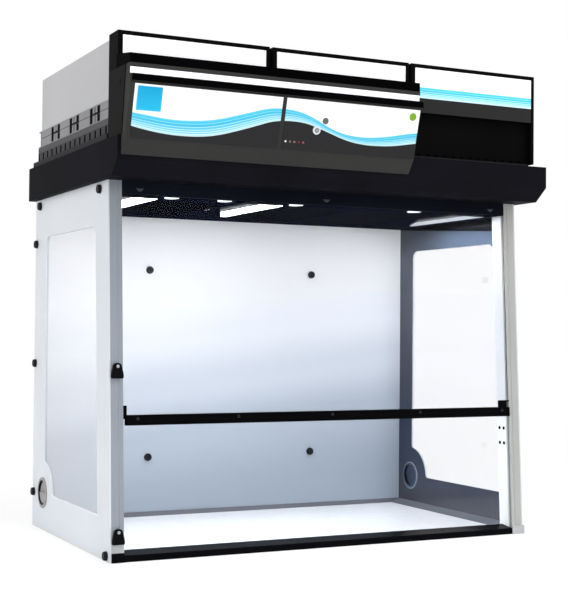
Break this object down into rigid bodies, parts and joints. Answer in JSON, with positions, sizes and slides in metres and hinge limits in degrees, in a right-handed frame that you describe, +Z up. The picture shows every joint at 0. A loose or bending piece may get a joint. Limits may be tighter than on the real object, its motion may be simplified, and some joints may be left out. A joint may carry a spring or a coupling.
{
  "type": "ductless fume hood",
  "caption": "Benchtop ductless fume hood with clear sides, a sliding front sash and cable ports, under a row of filter and fan columns with black frames and a sloping fascia.",
  "frame": {"origin": "middle of the whole hood's footprint, at the level it stands on", "axes": "+X to the right seen from the front, +Y to the back, +Z up"},
  "size_m": [1.32, 0.8914, 1.351],
  "materials": {
    "white_coat": "satin powder coat",
    "tray_white": "smooth",
    "clear_pane": "clear, polished",
    "dark_border": "gloss film",
    "post_metal": "satin anodised",
    "light_grey": "moulded",
    "black_gloss": "gloss",
    "black_paint": "satin powder coat",
    "black_plastic": "moulded, fine grain",
    "fascia_grey": "satin",
    "display_print": "printed film, blue and dark grey waves on white",
    "panel_print": "printed film, blue stripe over dark grey",
    "light_white": "translucent white",
    "ceiling_dark": "gloss",
    "base_grey": "moulded",
    "case_grey": "moulded",
    "box_grey": "satin powder coat",
    "carbon": "granules behind mesh",
    "mat_grey": "fibre mat",
    "sheet_steel": "brushed",
    "screw_steel": "bright",
    "motor_metal": "cast",
    "fan_plastic": "moulded",
    "board_green": "lacquered board",
    "inlet_black": "moulded",
    "port_grey": "moulded",
    "button_white": "moulded",
    "signal_lens": "coloured lenses"
  },
  "bodies": {
    "hood": {"side_panel_left": "white_coat", "side_panel_right": "white_coat", "side_panes": "clear_pane", "side_borders": "dark_border", "port_rings": "port_grey", "post_left": "post_metal", "post_right": "post_metal", "post_feet": "light_grey", "jambs": "white_coat", "front_sill": "black_gloss", "floor_plate": "sheet_steel", "spill_tray": "tray_white", "back_panel": "white_coat", "rear_panel": "white_coat", "rear_posts": "post_metal", "thumb_knobs": "black_plastic", "header_rail": "black_paint", "fixed_pane": "clear_pane", "ceiling_pan": "ceiling_dark", "prefilters": "mat_grey", "lamps": "light_white", "catch_screws": "screw_steel", "header_clips": "light_grey", "plinth": "black_paint", "power_inlet": "inlet_black", "carbon_filters": "carbon", "fan_motors": "motor_metal", "exhaust_grilles": "box_grey", "front_panels": "panel_print", "fascia_shell": "fascia_grey", "fascia_end_plate": "black_paint", "visor_and_rail": "black_paint", "light_bar": "light_white", "display_panels": "display_print", "fascia_signals": "signal_lens", "control_board": "board_green", "filter_base_1": "base_grey", "filter_case_1": "case_grey", "fan_box_1": "box_grey", "front_frame_1": "black_paint", "filter_base_2": "base_grey", "filter_case_2": "case_grey", "fan_box_2": "box_grey", "front_frame_2": "black_paint", "filter_base_3": "base_grey", "filter_case_3": "case_grey", "fan_box_3": "box_grey", "front_frame_3": "black_paint"},
    "sash": {"sash_pane": "clear_pane", "handle_bar": "black_plastic", "sash_shoes": "black_plastic", "bar_screws": "screw_steel"},
    "catch_low": {"catch_lower": "black_plastic"},
    "catch_high": {"catch_upper": "black_plastic"},
    "button": {"start_button": "button_white"},
    "shutter_left": {"port_shutter_left": "port_grey"},
    "shutter_right": {"port_shutter_right": "port_grey"},
    "fan_1": {"impeller_1": "fan_plastic"},
    "fan_2": {"impeller_2": "fan_plastic"},
    "fan_3": {"impeller_3": "fan_plastic"}
  },
  "joints": [
    {"name": "sash_travel", "type": "slide", "parent": "hood", "child": "sash", "axis": [0, -0.054, -0.9985], "range_m": [0, 0.323]},
    {"name": "catch_low_turn", "type": "hinge", "parent": "hood", "child": "catch_low", "pos_m": [-0.6195, -0.29573, 0.0771], "axis": [0, -0.9985, 0.054], "range_deg": [-90, 90]},
    {"name": "catch_high_turn", "type": "hinge", "parent": "hood", "child": "catch_high", "pos_m": [-0.6195, -0.27298, 0.4978], "axis": [0, -0.9985, 0.054], "range_deg": [-90, 90]},
    {"name": "button_press", "type": "slide", "parent": "hood", "child": "button", "axis": [0, 0.9625, 0.2711], "range_m": [0, 0.002], "stiffness_N_per_m": 800, "springref_m": -0.001},
    {"name": "shutter_left_turn", "type": "hinge", "parent": "hood", "child": "shutter_left", "pos_m": [-0.636, 0.3197, 0.109], "axis": [1, 0, 0], "range_deg": [0, 180]},
    {"name": "shutter_right_turn", "type": "hinge", "parent": "hood", "child": "shutter_right", "pos_m": [0.636, 0.3197, 0.109], "axis": [1, 0, 0], "range_deg": [0, 180]},
    {"name": "fan_1_spin", "type": "hinge", "parent": "hood", "child": "fan_1", "pos_m": [-0.4341, 0.0617, 1.24], "axis": [0, 0, 1], "continuous": true},
    {"name": "fan_2_spin", "type": "hinge", "parent": "hood", "child": "fan_2", "pos_m": [0, 0.0617, 1.24], "axis": [0, 0, 1], "continuous": true},
    {"name": "fan_3_spin", "type": "hinge", "parent": "hood", "child": "fan_3", "pos_m": [0.4341, 0.0617, 1.24], "axis": [0, 0, 1], "continuous": true}
  ]
}
